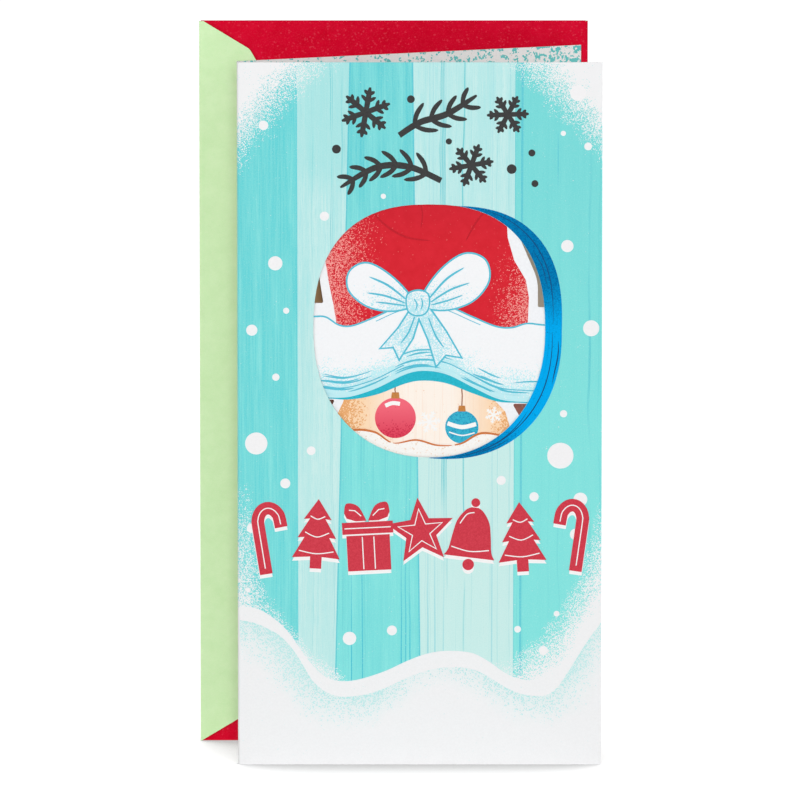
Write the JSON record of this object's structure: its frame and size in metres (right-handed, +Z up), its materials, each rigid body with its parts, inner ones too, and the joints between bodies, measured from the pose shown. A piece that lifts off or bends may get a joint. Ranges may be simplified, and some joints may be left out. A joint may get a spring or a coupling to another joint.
{
  "type": "money holder card",
  "caption": "Tall folded gift card with a die-cut window, an insert behind it and a banknote pocket inside, standing ajar before its long-flap envelope.",
  "frame": {"origin": "Middle of the footprint of the card and its envelope, on the surface that they stand on.", "axes": "+Z up along the card's height; -Y is where the front cover faces; +X runs along the cover from its fold to its free edge."},
  "size_m": [0.1044, 0.0336, 0.1905],
  "materials": {
    "teal_board": "satin",
    "white_board": "satin",
    "gift_insert": "satin",
    "umber_pocket": "matte",
    "clear_glue": "satin",
    "red_paper": "matte",
    "green_paper": "matte"
  },
  "bodies": {
    "card_back": {"back_panel": "white_board", "spine_crease": "white_board", "money_pocket": "umber_pocket", "pocket_glue_left": "clear_glue", "pocket_glue_right": "clear_glue", "pocket_glue_base": "clear_glue"},
    "cover": {"front_cover": "teal_board", "window_insert": "gift_insert", "insert_glue_left": "clear_glue", "insert_glue_right": "clear_glue"},
    "envelope": {"envelope_face": "red_paper", "envelope_back": "red_paper", "envelope_end_flap_upper": "red_paper", "envelope_end_flap_lower": "red_paper", "seam_glue_upper": "clear_glue", "seam_glue_lower": "clear_glue"},
    "crease": {"flap_crease": "red_paper"},
    "flap": {"seal_flap": "green_paper", "gum_strip": "clear_glue"}
  },
  "joints": [
    {"name": "cover_fold", "type": "hinge", "parent": "card_back", "child": "cover", "pos_m": [-0.0418, -0.01571, 0.0921], "axis": [0, 0, -1], "range_deg": [-18.6, 161.4]},
    {"name": "envelope_slide", "type": "slide", "parent": "card_back", "child": "envelope", "axis": [0, 1, 0], "range_m": [0, 0.12]},
    {"name": "flap_fold", "type": "hinge", "parent": "envelope", "child": "crease", "pos_m": [-0.0521, 0.01622, 0.09525], "axis": [0, 0, -1], "range_deg": [0, 180]},
    {"name": "flap_turn", "type": "hinge", "parent": "crease", "child": "flap", "pos_m": [-0.0521, 0.01512, 0.09525], "axis": [0, 0, -1], "range_deg": [0, 180]}
  ]
}
